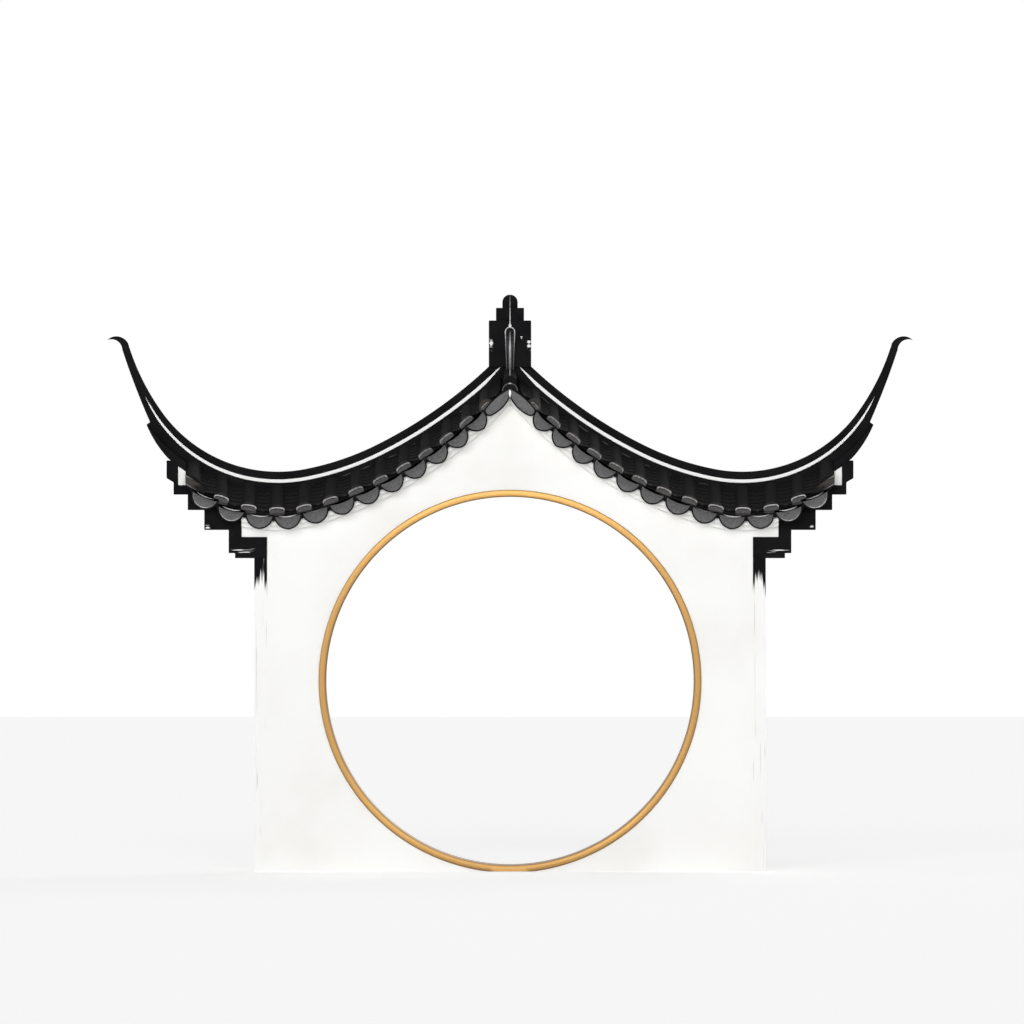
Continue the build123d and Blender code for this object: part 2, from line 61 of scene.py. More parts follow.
def add(tree, kind, inputs=(), **settings):
    """Adds a node with its settings. Inputs are pairs of a socket and its value or source."""
    made = tree.nodes.new(kind)
    for name, value in settings.items():
        setattr(made, name, value)
    for socket, value in inputs:
        if isinstance(value, bpy.types.NodeSocket):
            tree.links.new(value, made.inputs[socket])
        else:
            made.inputs[socket].default_value = value
    return made


world = bpy.data.worlds.new("white sky")
scene.world = world
world.use_nodes = True
sky = world.node_tree
sky.nodes.clear()
ray = add(sky, "ShaderNodeLightPath").outputs
seen = add(
    sky, "ShaderNodeMath", [(0, ray["Is Camera Ray"]), (1, ray["Is Glossy Ray"])], operation="MAXIMUM"
)
seen = add(
    sky, "ShaderNodeMath", [(0, seen.outputs[0]), (1, ray["Is Transmission Ray"])], operation="MAXIMUM"
)
sky_range = [("Value", seen.outputs[0]), ("To Min", SKY_LIGHT), ("To Max", 1.0)]
strength = add(sky, "ShaderNodeMapRange", sky_range)
glow = add(sky, "ShaderNodeBackground", [("Color", (1, 1, 1, 1)), ("Strength", strength.outputs[0])])
add(sky, "ShaderNodeOutputWorld", [("Surface", glow.outputs[0])])

for name, power, source in SUNS:
    sun_data = bpy.data.lights.new(name, "SUN")
    sun_data.energy = power
    sun_data.angle = math.radians(SUN_SPREAD)
    sun = bpy.data.objects.new(name, sun_data)
    sun.rotation_euler = Vector(source).to_track_quat("Z", "Y").to_euler()
    scene.collection.objects.link(sun)

camera_data = bpy.data.cameras.new("camera")
camera_data.sensor_width = 36
camera_data.lens = 36 * -EYE[1] / (FRAME_PIXELS * PIXEL)
camera_data.clip_end = 500
camera = bpy.data.objects.new("camera", camera_data)
camera.location = EYE
camera.rotation_euler = (math.radians(90), 0, 0)
scene.collection.objects.link(camera)
scene.camera = camera

floor_bm = bmesh.new()
bmesh.ops.create_grid(floor_bm, x_segments=1, y_segments=1, size=FLOOR_HALF)
floor_mesh = bpy.data.meshes.new("floor")
floor_bm.to_mesh(floor_mesh)
floor_bm.free()
floor = bpy.data.objects.new("floor", floor_mesh)
scene.collection.objects.link(floor)
floor_paint = bpy.data.materials.new("pale floor")
floor_paint.use_nodes = True
ground = floor_paint.node_tree
ground.nodes.clear()
matt = add(ground, "ShaderNodeBsdfDiffuse", [("Color", linear("F4F4F4"))])
ray = add(ground, "ShaderNodeLightPath").outputs
lift = add(ground, "ShaderNodeMath", [(0, ray["Is Camera Ray"]), (1, FLOOR_LIFT)], operation="MULTIPLY")
lift = add(ground, "ShaderNodeEmission", [("Color", (1, 1, 1, 1)), ("Strength", lift.outputs[0])])
both = add(ground, "ShaderNodeAddShader", [(0, matt.outputs[0]), (1, lift.outputs[0])])
add(ground, "ShaderNodeOutputMaterial", [("Surface", both.outputs[0])])
floor_mesh.materials.append(floor_paint)


# Wall. Four quarters of brickwork round the opening, under lime plaster laid on with a float
# and limewashed white. It stands on the ground, and the white corbel fields are the same.
PLASTER_PALE = "FDFDFB"
PLASTER_DULL = "F6F5F2"
CLOUDING = 0.5
GRAIN = 0.004
GRAIN_DEPTH = 0.0005


def paint(name):
    """A new material, with its node tree, its shader and the object's own coordinates."""
    made = bpy.data.materials.new(name)
    made.use_nodes = True
    tree = made.node_tree
    return made, tree, tree.nodes["Principled BSDF"], add(tree, "ShaderNodeTexCoord").outputs["Object"]


def maths(tree, operation, first, second=0.0):
    """Result of a sum on two values or sockets."""
    return add(tree, "ShaderNodeMath", [(0, first), (1, second)], operation=operation).outputs[0]


def ranged(tree, value, low, high, to_low=0.0, to_high=1.0):
    """A value mapped from one range to another, and held inside it."""
    sockets = ("Value", "From Min", "From Max", "To Min", "To Max")
    inputs = zip(sockets, (value, low, high, to_low, to_high))
    return add(tree, "ShaderNodeMapRange", inputs).outputs[0]


def noise(tree, place, size, detail=3.0):
    """Noise whose grains have that size, in metres."""
    inputs = [("Vector", place), ("Scale", 1 / size), ("Detail", detail)]
    return add(tree, "ShaderNodeTexNoise", inputs).outputs["Fac"]


def blend(tree, share, first, second):
    """A mix of two colours, each a socket or an sRGB hex value."""
    sides = [each if isinstance(each, bpy.types.NodeSocket) else linear(each) for each in (first, second)]
    inputs = [(0, share), (6, sides[0]), (7, sides[1])]
    return add(tree, "ShaderNodeMix", inputs, data_type="RGBA").outputs[2]


def rough_skin(tree, shader, place, size, depth):
    """Gives a shader the fine relief of a grain of that size, in metres."""
    skin = add(tree, "ShaderNodeBump", [("Height", noise(tree, place, size)), ("Distance", depth)])
    tree.links.new(skin.outputs["Normal"], shader.inputs["Normal"])


def matt_finish(tree, shader, colour, roughness, shine):
    """Gives a shader its colour and a dull finish."""
    tree.links.new(colour, shader.inputs["Base Color"])
    shader.inputs["Roughness"].default_value = roughness
    shader.inputs["Specular IOR Level"].default_value = shine


def limewash(tree, place):
    """Colour of the limewash, with faint clouds where it is thin."""
    clouds = ranged(tree, noise(tree, place, CLOUDING, 5.0), 0.42, 0.68)
    return blend(tree, clouds, PLASTER_PALE, PLASTER_DULL)


# Limewashed plaster is dead matt and nearly white.
plaster, tree, shader, place = paint("limewashed plaster")
matt_finish(tree, shader, limewash(tree, place), 0.92, 0.15)
rough_skin(tree, shader, place, GRAIN, GRAIN_DEPTH)


def softened(node, width, segments=2, sharp=35):
    """A copy of a CAD node, its doubles merged, its flats made whole and its sharp edges eased."""
    bm = bmesh.new()
    bm.from_mesh(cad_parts[node].data)
    bmesh.ops.remove_doubles(bm, verts=bm.verts, dist=1e-5)
    bmesh.ops.dissolve_limit(bm, angle_limit=math.radians(0.5), verts=bm.verts, edges=bm.edges)
    hard = [e for e in bm.edges if len(e.link_faces) == 2 and e.calc_face_angle() > math.radians(sharp)]
    bmesh.ops.bevel(
        bm, geom=hard, offset=width, offset_type="OFFSET", segments=segments, profile=0.5,
        affect="EDGES", clamp_overlap=True, material=-1,
    )
    return bm


def piece(name, bm, paints, slot, *nodes, sharp=40):
    """Makes a bmesh a piece that rides with the gate and stands for its CAD nodes."""
    mesh = bpy.data.meshes.new(name)
    bm.to_mesh(mesh)
    bm.free()
    for each in paints:
        mesh.materials.append(each)
    mesh.shade_smooth()
    mesh.set_sharp_from_angle(angle=math.radians(sharp))
    made = bpy.data.objects.new(name, mesh)
    scene.collection.objects.link(made)
    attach(made, "root")
    if nodes:
        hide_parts(*nodes)
    return made


def finish_node(name, *paints):
    """Gives a CAD node that stays its materials."""
    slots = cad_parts[name].data.materials
    slots.clear()
    for each in paints:
        slots.append(each)


for side in ("left", "right"):
    for name in ("upper_wall_", "lower_wall_", "corbel_core_"):
        finish_node(name + side, plaster)


# Cornice. Two oversailing courses of plastered brick carry the eaves, white as the wall.
CORNICE_EASE = 0.004

for side in ("left", "right"):
    node = "cornice_" + side
    piece("plaster_" + node, softened(node, CORNICE_EASE), [plaster], "plaster", node)


# End strips. The wall's ends are brushed with the same black wash as the corbels. It runs out
# downwards in dry bristle marks, and a few faint ones carry on over the white plaster below.
STRIP_MIDDLE = 1.4925
STRIP_HALF = 0.0385
WASH_FULL = 1.83
WASH_END = 1.70
EDGE_RUN = 0.105
BRISTLE = 0.0085
BRISTLE_RUN = 0.35
WASH_SOFTNESS = (-0.1, 0.25)
BLACK_DEEP = "121214"
BLACK_THIN = "19191A"

strip_paint, tree, shader, place = paint("black wash run dry on plaster")
spot = add(tree, "ShaderNodeSeparateXYZ", [(0, place)]).outputs
stretch = (1 / BRISTLE, 1 / BRISTLE, 1 / BRISTLE_RUN)
brushed = add(tree, "ShaderNodeMapping", [("Vector", place), ("Scale", stretch)]).outputs[0]
brushed = ranged(tree, noise(tree, brushed, 1.0, 2.0), 0.3, 0.7)
off_middle = maths(tree, "SUBTRACT", maths(tree, "ABSOLUTE", spot["X"]), STRIP_MIDDLE)
near_edge = maths(tree, "POWER", maths(tree, "DIVIDE", maths(tree, "ABSOLUTE", off_middle), STRIP_HALF), 2.0)
height = maths(tree, "ADD", spot["Z"], maths(tree, "MULTIPLY", near_edge, EDGE_RUN))
wash_left = maths(tree, "SUBTRACT", ranged(tree, height, WASH_END, WASH_FULL, 0.0, 1.15), brushed)
bare = limewash(tree, place)
washed = blend(tree, ranged(tree, wash_left, *WASH_SOFTNESS), bare, BLACK_DEEP)
matt_finish(tree, shader, washed, 0.9, 0.08)
rough_skin(tree, shader, place, GRAIN, GRAIN_DEPTH)
for side in ("left", "right"):
    finish_node("end_strip_" + side, strip_paint)


# Corbels. Brick courses step out under the roof ends, rendered and brushed with lamp-black
# lime wash, which has come off in a few spots and run thin on the lowest ledge.
EDGING_EASE = 0.007
WORN_AND_LIT_WASH = "6A6562"
BARE_SPOTS = (
    (1.594, 1.9246, 0.074, 0.0075),
    (1.583, 1.9120, 0.042, 0.0065),
    (1.809, 2.064, 0.014, 0.012),
    (0.114, 3.162, 0.013, 0.040),
    (0.0, 3.256, 0.009, 0.024),
)
LONE_SPOT = (0.069, 3.196, 0.007, 0.014)
RUB_HIGHLIGHT_DEPTH = 0.69
RUB_HIGHLIGHT_HALF = 0.075
RUB_HIGHLIGHT_WANDER = 0.14
RUB_HIGHLIGHT_STRENGTH = 0.6
RUB_HIGHLIGHT_START = (0.15, 0.25)
RUB_HIGHLIGHT_END = (1.3, 1.45)
STREAK_SCALE = (14, 14, 160)
ARRIS_FOOT = 3.265
ARRIS_TOP = 3.46


def bare_spot(tree, sideways, height, x, z, half_x, half_z):
    """How far a point lies inside a spot centred there."""
    across = maths(tree, "ABSOLUTE", maths(tree, "SUBTRACT", sideways, x))
    up = maths(tree, "ABSOLUTE", maths(tree, "SUBTRACT", height, z))
    reach = maths(tree, "MAXIMUM", maths(tree, "DIVIDE", across, half_x), maths(tree, "DIVIDE", up, half_z))
    return maths(tree, "SUBTRACT", 1.0, reach)


# Lamp-black wash is matt and very dark. The ridge's base has thin broken brown-grey lines near its
# lower edge, partly rubbed wash and partly a painted highlight on that edge. Bare spots show the
# pale plaster through a dry brush's streaks, and a thin pale line down the middle of the finial is
# a painted highlight on an arris.
black_wash, tree, shader, place = paint("lamp-black lime wash")
spot = add(tree, "ShaderNodeSeparateXYZ", [(0, place)]).outputs
black = blend(tree, ranged(tree, noise(tree, place, 0.12, 5.0), 0.4, 0.65), BLACK_DEEP, BLACK_THIN)
sideways = maths(tree, "ABSOLUTE", spot["X"])
depth_share = add(tree, "ShaderNodeAttribute", attribute_name="wear_and_light").outputs["Fac"]
# Thin broken brown-grey lines near the base course's lower edge: partly rubbed wash, partly a painted
# highlight along that edge.
rub_and_highlight_line = noise(tree, place, 0.4, 2.0)
rub_and_highlight_line = ranged(tree, rub_and_highlight_line, 0.3, 0.7, RUB_HIGHLIGHT_DEPTH - RUB_HIGHLIGHT_WANDER, RUB_HIGHLIGHT_DEPTH + RUB_HIGHLIGHT_WANDER)
off_line = maths(tree, "ABSOLUTE", maths(tree, "SUBTRACT", depth_share, rub_and_highlight_line))
rub_and_highlight = ranged(tree, off_line, RUB_HIGHLIGHT_HALF * 0.3, RUB_HIGHLIGHT_HALF, RUB_HIGHLIGHT_STRENGTH, 0.0)
rub_and_highlight = maths(tree, "MULTIPLY", rub_and_highlight, ranged(tree, noise(tree, place, 0.12, 2.0), 0.5, 0.58))
rub_and_highlight = maths(tree, "MULTIPLY", rub_and_highlight, ranged(tree, sideways, *RUB_HIGHLIGHT_START))
rub_and_highlight = maths(tree, "MULTIPLY", rub_and_highlight, ranged(tree, sideways, *RUB_HIGHLIGHT_END, 1.0, 0.0))
black = blend(tree, rub_and_highlight, black, WORN_AND_LIT_WASH)
bared = bare_spot(tree, spot["X"], spot["Z"], *LONE_SPOT)
for each in BARE_SPOTS:
    bared = maths(tree, "MAXIMUM", bared, bare_spot(tree, sideways, spot["Z"], *each))
streaks = add(tree, "ShaderNodeMapping", [("Vector", place), ("Scale", STREAK_SCALE)]).outputs[0]
streaks = ranged(tree, noise(tree, streaks, 1.0, 2.0), 0.35, 0.65)
bared = ranged(tree, maths(tree, "SUBTRACT", bared, streaks), -0.15, 0.35)
# Painted highlight: a thin pale line standing for an arris down the finial's face, narrowing and fading
# upwards.
arris_highlight_half = ranged(tree, spot["Z"], ARRIS_FOOT, ARRIS_TOP, 0.0035, 0.0012)
line = maths(tree, "DIVIDE", sideways, arris_highlight_half)
line = maths(tree, "MULTIPLY", ranged(tree, line, 0.7, 1.3, 1.0, 0.0), ranged(tree, spot["Z"], 3.2, 3.24))
line = maths(tree, "MULTIPLY", line, ranged(tree, spot["Z"], ARRIS_FOOT, ARRIS_TOP, 0.75, 0.25))
black = blend(tree, maths(tree, "MAXIMUM", bared, line), black, PLASTER_DULL)
matt_finish(tree, shader, black, 0.85, 0.06)
rough_skin(tree, shader, place, GRAIN, GRAIN_DEPTH)

for side in ("left", "right"):
    for name in ("corbel_edging_", "ridge_tail_"):
        node = name + side
        piece("black_" + node, softened(node, EDGING_EASE), [black_wash], "black_brick", node)


# Ring. The opening is lined with curved lengths of gilded metal facing, a slim band proud of
# the plaster on both faces. It stands on the ground, so its foot is cut flat.
RING_CENTRE = 1.139
RING_INNER = 1.104
RING_FACE = 0.042
RING_HALF = 0.190
RING_EASE = 0.003
RING_STEPS = 240
EDGE_LINE = 0.007
STREAKS_ACROSS = 220.0
STREAKS_ALONG = 1.2
GILT = "B68C4B"
GILT_STREAK_AND_SHADE = "8F6C38"
GILT_EDGE = "836232"

# Gilding is soft satin gold, drawn out in fine brush streaks along the band. It is darker at the
# sides and foot of the ring as painted shade, where less of the sky reaches, and darker along
# both edges.
gilding, tree, shader, place = paint("satin gilding")
spot = add(tree, "ShaderNodeSeparateXYZ", [(0, place)]).outputs
height = maths(tree, "SUBTRACT", spot["Z"], RING_CENTRE)
flat_spot = add(tree, "ShaderNodeCombineXYZ", [(0, spot["X"]), (2, height)]).outputs[0]
reach = add(tree, "ShaderNodeVectorMath", [(0, flat_spot)], operation="LENGTH").outputs["Value"]
off_middle = maths(tree, "ABSOLUTE", maths(tree, "SUBTRACT", reach, RING_INNER + RING_FACE / 2))
sideways = maths(tree, "ABSOLUTE", spot["X"])
stretched = [
    (0, maths(tree, "MULTIPLY", reach, STREAKS_ACROSS)),
    (1, maths(tree, "MULTIPLY", spot["X"], STREAKS_ALONG)),
    (2, maths(tree, "MULTIPLY", height, STREAKS_ALONG)),
]
along = add(tree, "ShaderNodeCombineXYZ", stretched).outputs[0]
brushing = ranged(tree, noise(tree, along, 1.0, 2.0), 0.35, 0.65, 0.0, 0.4)
# Painted shade: the gilding is darker at the sides and foot of the ring.
painted_shade = maths(tree, "MAXIMUM", ranged(tree, sideways, 0.5, 1.1), ranged(tree, height, -1.1, -0.6, 0.8, 0.0))
gold = blend(tree, painted_shade, GILT, GILT_STREAK_AND_SHADE)
gold = blend(tree, brushing, gold, GILT_STREAK_AND_SHADE)
edge_start = RING_FACE / 2 - EDGE_LINE
gold = blend(tree, ranged(tree, off_middle, edge_start - 0.002, edge_start + 0.002), gold, GILT_EDGE)
tree.links.new(gold, shader.inputs["Base Color"])
shader.inputs["Metallic"].default_value = 0.6
shader.inputs["Roughness"].default_value = 0.42
rough_skin(tree, shader, place, 0.003, 0.0002)


def cut_back(bm, edge, outward):
    """Cuts off all that lies past a plane, and closes the cut."""
    bmesh.ops.bisect_plane(
        bm, geom=bm.verts[:] + bm.edges[:] + bm.faces[:], plane_co=edge, plane_no=outward, clear_outer=True
    )
    bmesh.ops.holes_fill(bm, edges=[e for e in bm.edges if e.is_boundary])


bm = bmesh.new()
section = [
    bm.verts.new((RING_INNER + out, y, RING_CENTRE))
    for out, y in ((0, -RING_HALF), (RING_FACE, -RING_HALF), (RING_FACE, RING_HALF), (0, RING_HALF))
]
bm.faces.new(section)
bmesh.ops.bevel(
    bm, geom=section, offset=RING_EASE, offset_type="OFFSET", segments=3, profile=0.5,
    affect="VERTICES", material=-1,
)
outline = list(bm.edges)
bmesh.ops.delete(bm, geom=list(bm.faces), context="FACES_ONLY")
bmesh.ops.spin(
    bm, geom=outline + list(bm.verts), cent=(0, 0, RING_CENTRE), axis=(0, 1, 0), angle=math.tau,
    steps=RING_STEPS, use_merge=True,
)
cut_back(bm, (0, 0, 0), (0, 0, -1))
bmesh.ops.recalc_face_normals(bm, faces=bm.faces)
RING_NODES = ("right", "upper_right", "crown", "upper_left", "left", "lower_left", "sill", "lower_right")
piece("gilded_ring", bm, [gilding], "ring", *["ring_" + name for name in RING_NODES])


# Ridge. Three courses run from the middle out to the horns: a round-edged black cap, a white
# lime fillet drawn back between, and a black base with pale streaks near its lower edge, partly
# rubbed wash and partly painted highlight.
APEX = 3.153
RIDGE_SLOPE = 47.1
RIDGE_TURNS = (20.7, 15.5)
RIDGE_RADII = (2.787, 0.858)
ROOT_SLOPE = -53.8
ROOT_X = 2.0843
CAP_HALF = 0.060
CAP_DEPTH = 0.047
CAP_CLOSE = 0.012
FILLET_HALF = 0.057
FILLET_LOW = 0.067
POINT_SLOPE = 45.5
POINT_TURN = 4.1
FILLET_CLOSE = 0.019
FILLET_SPIKE = 0.136
CLOSING_SLOPE = -5
BASE_HALF = 0.070
RIDGE_UNDER = 0.115
CAP_EASE = 0.017
BASE_EASE = 0.005
COURSE_STEPS = 110
PAST_MIDDLE = 6.0


def sagging_line(apex, slope, turns, radii, end_x, end_slope):
    """The three tangent arcs of a roof line from the middle outwards to -X, as in the frame.

    Each is its centre, its radius, and its first and last slope in degrees.
    """
    slopes = (slope, slope - turns[0], slope - turns[0] - turns[1], -90)
    rises = [math.sin(math.radians(each)) for each in (*slopes[:3], end_slope)]
    others = radii[0] * (rises[0] - rises[1]) + radii[1] * (rises[2] - rises[3])
    middle = (end_x - others) / (rises[1] - rises[2])
    arcs = []
    x, z = 0.0, apex
    for number, radius in enumerate((radii[0], middle, radii[1])):
        first, last = slopes[number : number + 2]
        lean = math.radians(first)
        centre = (x - radius * math.sin(lean), z + radius * math.cos(lean))
        arcs.append((centre, radius, first, last))
        lean = math.radians(last)
        x, z = centre[0] + radius * math.sin(lean), centre[1] - radius * math.cos(lean)
    return arcs


def spot_on(line, depth, slope):
    """Point at a depth under a line, where the line has that slope."""
    arc_there = next((each for each in line if slope >= each[3]), line[-1])
    lean = math.radians(slope)
    reach = arc_there[1] + depth
    return Vector((arc_there[0][0] + reach * math.sin(lean), 0, arc_there[0][1] - reach * math.cos(lean)))


def slope_at(line, depth, x):
    """Slope of a line where a point at that depth under it has that x."""
    for centre, radius, first, last in line:
        share = (x - centre[0]) / (radius + depth)
        if share >= math.sin(math.radians(last)):
            return math.degrees(math.asin(share))
    return line[-1][3]


ridge = sagging_line(APEX, RIDGE_SLOPE, RIDGE_TURNS, RIDGE_RADII, ROOT_X, ROOT_SLOPE)
spike_slope = ROOT_SLOPE - math.degrees(FILLET_SPIKE / RIDGE_RADII[1])


def closing(depth, close, slope):
    """Depth of a course's edge, which closes on the ridge line past the closing slope."""
    off = math.radians(CLOSING_SLOPE - max(slope, ROOT_SLOPE))
    if off <= 0:
        return depth
    pull = close / (1 - math.cos(math.radians(CLOSING_SLOPE - ROOT_SLOPE)))
    reach = RIDGE_RADII[1] + depth - pull
    return pull * math.cos(off) + math.sqrt(reach**2 - (pull * math.sin(off)) ** 2) - RIDGE_RADII[1]


def cap_edge(slope):
    return closing(CAP_DEPTH, CAP_CLOSE, slope)


def fillet_edge(slope):
    """Depth of the white fillet's lower edge, which meets its upper one in points at its ends."""
    past_root = max(0.0, (ROOT_SLOPE - slope) / (ROOT_SLOPE - spike_slope))
    near_middle = min(1.0, max(0.0, 1 - (POINT_SLOPE - slope) / POINT_TURN))
    depth = closing(FILLET_LOW, FILLET_CLOSE, slope)
    return depth + (cap_edge(slope) - depth) * 0.98 * max(past_root, near_middle)


def wear_and_light(bm, faces, value):
    """Sets the wear and painted light of some faces, from 0 to 1, which their material turns into paler
    tones.
    """
    layer = bm.loops.layers.float.get("wear_and_light") or bm.loops.layers.float.new("wear_and_light")
    for face in faces:
        for loop in face.loops:
            loop[layer] = value(loop.vert.co) if callable(value) else value


def course(half, upper, lower, outer, high_ease, low_ease, worn_and_lit=0.0):
    """A ridge course, eased and ruled straight, then bent to the ridge between two depths.

    Its wear grows from 0 at its upper edge to the stated value at its lower one.
    """
    thick = lower(RIDGE_SLOPE / 2) - upper(RIDGE_SLOPE / 2)
    bm = bmesh.new()
    bmesh.ops.create_cube(bm, size=1.0)
    bmesh.ops.translate(bm, vec=(0.5, 0, 0.5), verts=bm.verts)
    bmesh.ops.scale(bm, vec=(1, 2 * half, thick), verts=bm.verts)
    for is_low, ease in ((False, high_ease), (True, low_ease)):
        long_edges = [
            e for e in bm.edges
            if abs(e.verts[0].co.x - e.verts[1].co.x) > 0.5 and (e.verts[0].co.z > thick * 0.99) == is_low
            and (is_low or e.verts[0].co.z < thick * 0.01)
        ]
        bmesh.ops.bevel(
            bm, geom=long_edges, offset=ease, offset_type="OFFSET", segments=3, profile=0.5,
            affect="EDGES", clamp_overlap=True, material=-1,
        )
    long_edges = [e for e in bm.edges if abs(e.verts[0].co.x - e.verts[1].co.x) > 0.5]
    bmesh.ops.subdivide_edges(bm, edges=long_edges, cuts=COURSE_STEPS - 1, use_grid_fill=True)
    wear_and_light(bm, bm.faces, lambda spot: worn_and_lit * spot.z / thick)
    start = RIDGE_SLOPE + PAST_MIDDLE
    for vert in bm.verts:
        slope = start + (outer - start) * vert.co.x
        depth = upper(slope) + (lower(slope) - upper(slope)) * vert.co.z / thick
        vert.co = spot_on(ridge, depth, slope) + Vector((0, vert.co.y, 0))
    cut_back(bm, (0, 0, 0), (1, 0, 0))
    bmesh.ops.recalc_face_normals(bm, faces=bm.faces)
    return bm


def both_sides(name, bm, paints, slot, *nodes):
    """Makes a left half and its mirror image two pieces that stand for such nodes."""
    right = bm.copy()
    bmesh.ops.scale(right, vec=(-1, 1, 1), verts=right.verts)
    bmesh.ops.reverse_faces(right, faces=right.faces)
    for side, shape in (("_left", bm), ("_right", right)):
        piece(name + side, shape, paints, slot, *[node + side for node in nodes])


# White lime mortar, struck smooth and kept clean under the cap.
lime, tree, shader, place = paint("white lime mortar")
matt_finish(tree, shader, blend(tree, noise(tree, place, 0.05), "FFFFFF", "FAFAF8"), 0.85, 0.15)

cap = course(CAP_HALF, lambda slope: 0.0, cap_edge, ROOT_SLOPE, CAP_EASE, BASE_EASE)
both_sides("cap_course", cap, [black_wash], "ridge_black", "ridge_cap")
fillet = course(FILLET_HALF, cap_edge, fillet_edge, spike_slope, 0.001, 0.001)
both_sides("fillet_course", fillet, [lime], "ridge_white", "ridge_fillet")
base = course(BASE_HALF, fillet_edge, lambda slope: RIDGE_UNDER, ROOT_SLOPE, BASE_EASE, BASE_EASE, 1.0)
both_sides("base_course", base, [black_wash], "ridge_black", "ridge_base")


# Horns. Each ridge runs out in a slim upswept horn of mortar on an iron core, black-washed,
# that thins all the way to a curled tip.
HORN_EASE = 0.004

for side in ("left", "right"):
    node = "horn_" + side
    piece("swept_" + node, softened(node, HORN_EASE), [black_wash], "ridge_black", node)


# Tile slopes. A black mortar bed carries concave pan tiles, laid from the eaves up, each
# course lapping the one below. Their lips show between the cover tiles.
EAVE_APEX = 2.885
EAVE_SLOPE = 49.0
EAVE_TURNS = (15.5, 18.4)
EAVE_RADII = (2.550, 0.798)
EAVE_END_SLOPE = -42.3
EAVE_REACH = 0.320
VERGE = 1.940
BED_EDGE = 0.045
LEAN_SHARE = 0.7
INTERVALS = 12
COVER_PITCHES = (0.1754, 0.149)
FIRST_COVER = 0.2515
COVER_WIDTH = 0.094
VERGE_WIDTH = 0.104
PAN_RISE = 0.014
PAN_THICK = 0.004
PAN_START = 0.008
PAN_COURSES = 6
PAN_TILT = 0.004
PAN_CLEAR = 0.6 * COVER_WIDTH
BED_LIFT = 0.002
GLINT_HALF = 0.022
GLINT = 0.30

eave = sagging_line(EAVE_APEX, EAVE_SLOPE, EAVE_TURNS, EAVE_RADII, VERGE, EAVE_END_SLOPE)
bed_line = [((middle[0], middle[1] + BED_EDGE), *rest) for middle, *rest in eave]


def slope_after(line, start, length):
    """Slope of a line at a length along it, inwards from a starting slope."""
    slope = start
    for centre, radius, first, last in reversed(line):
        if first <= slope:
            continue
        turn = math.degrees(length / radius)
        if slope + turn <= first or line[0][0] == centre:
            return slope + turn
        length -= math.radians(first - slope) * radius
        slope = first
    return slope


def stations(start, pitches, count):
    """Places of a row's tiles along the eave, whose steps shrink towards the middle."""
    steps = [pitches[0] + (pitches[1] - pitches[0]) * n / (INTERVALS - 1) for n in range(count)]
    return [start + sum(steps[:n]) for n in range(count)]


cover_places = stations(FIRST_COVER, COVER_PITCHES, INTERVALS)


def tile_slope(place, share=LEAN_SHARE):
    """Slope of the eave at a tile's place, and the tile's lean, upright on the turned-up end."""
    slope = slope_after(eave, EAVE_END_SLOPE, place)
    return slope, math.radians(slope if slope > 0 else share * slope)


def down_slope(place, share=LEAN_SHARE):
    """The seat of a tile row: a matrix with its origin at the eaves, X across, Y up the slope
    and Z out of the bed, and the row's length."""
    slope, lean = tile_slope(place, share)
    low = spot_on(bed_line, 0, slope)
    high = spot_on(ridge, RIDGE_UNDER, slope_at(ridge, RIDGE_UNDER, low.x))
    up = Vector((low.x, -BASE_HALF, high.z)) - Vector((low.x, -EAVE_REACH, low.z))
    y_axis = up.normalized()
    x_axis = Vector((math.cos(lean), 0, math.sin(lean)))
    x_axis = (x_axis - y_axis * x_axis.dot(y_axis)).normalized()
    turn = Matrix((x_axis, y_axis, x_axis.cross(y_axis))).transposed().to_4x4()
    return Matrix.Translation((low.x, -EAVE_REACH, low.z)) @ turn, up.length


def side_of(bm, points, steps):
    """Adds one side of an outline in the XZ plane: a line, or an arc through three points."""
    if len(points) == 2:
        bm.edges.new([bm.verts.new((x, 0, z)) for x, z in points])
        return
    a, b, c = [Vector(point) for point in points]
    d = 2 * (a.x * (b.y - c.y) + b.x * (c.y - a.y) + c.x * (a.y - b.y))
    x = (a.dot(a) * (b.y - c.y) + b.dot(b) * (c.y - a.y) + c.dot(c) * (a.y - b.y)) / d
    z = (a.dot(a) * (c.x - b.x) + b.dot(b) * (a.x - c.x) + c.dot(c) * (b.x - a.x)) / d
    centre = Vector((x, z))
    turn = (a - centre).angle_signed(b - centre) + (b - centre).angle_signed(c - centre)
    vert = bm.verts.new((a.x, 0, a.y))
    bmesh.ops.spin(bm, geom=[vert], cent=(x, 0, z), axis=(0, 1, 0), angle=turn, steps=steps)


def put(into, shape, matrix=Matrix()):
    """Adds a shape to a bmesh at its place, and frees it."""
    bmesh.ops.transform(shape, matrix=matrix, verts=shape.verts)
    holder = bpy.data.meshes.new("holder")
    shape.to_mesh(holder)
    shape.free()
    into.from_mesh(holder)
    bpy.data.meshes.remove(holder)


def with_mirror(bm, scale):
    """Adds a mirror image to all that a bmesh holds."""
    copied = bmesh.ops.duplicate(bm, geom=bm.verts[:] + bm.edges[:] + bm.faces[:])["geom"]
    bmesh.ops.scale(bm, vec=scale, verts=[e for e in copied if isinstance(e, bmesh.types.BMVert)])
    bmesh.ops.reverse_faces(bm, faces=[e for e in copied if isinstance(e, bmesh.types.BMFace)])
    return bm


TO_BACK = (1, -1, 1)
TO_RIGHT = (-1, 1, 1)

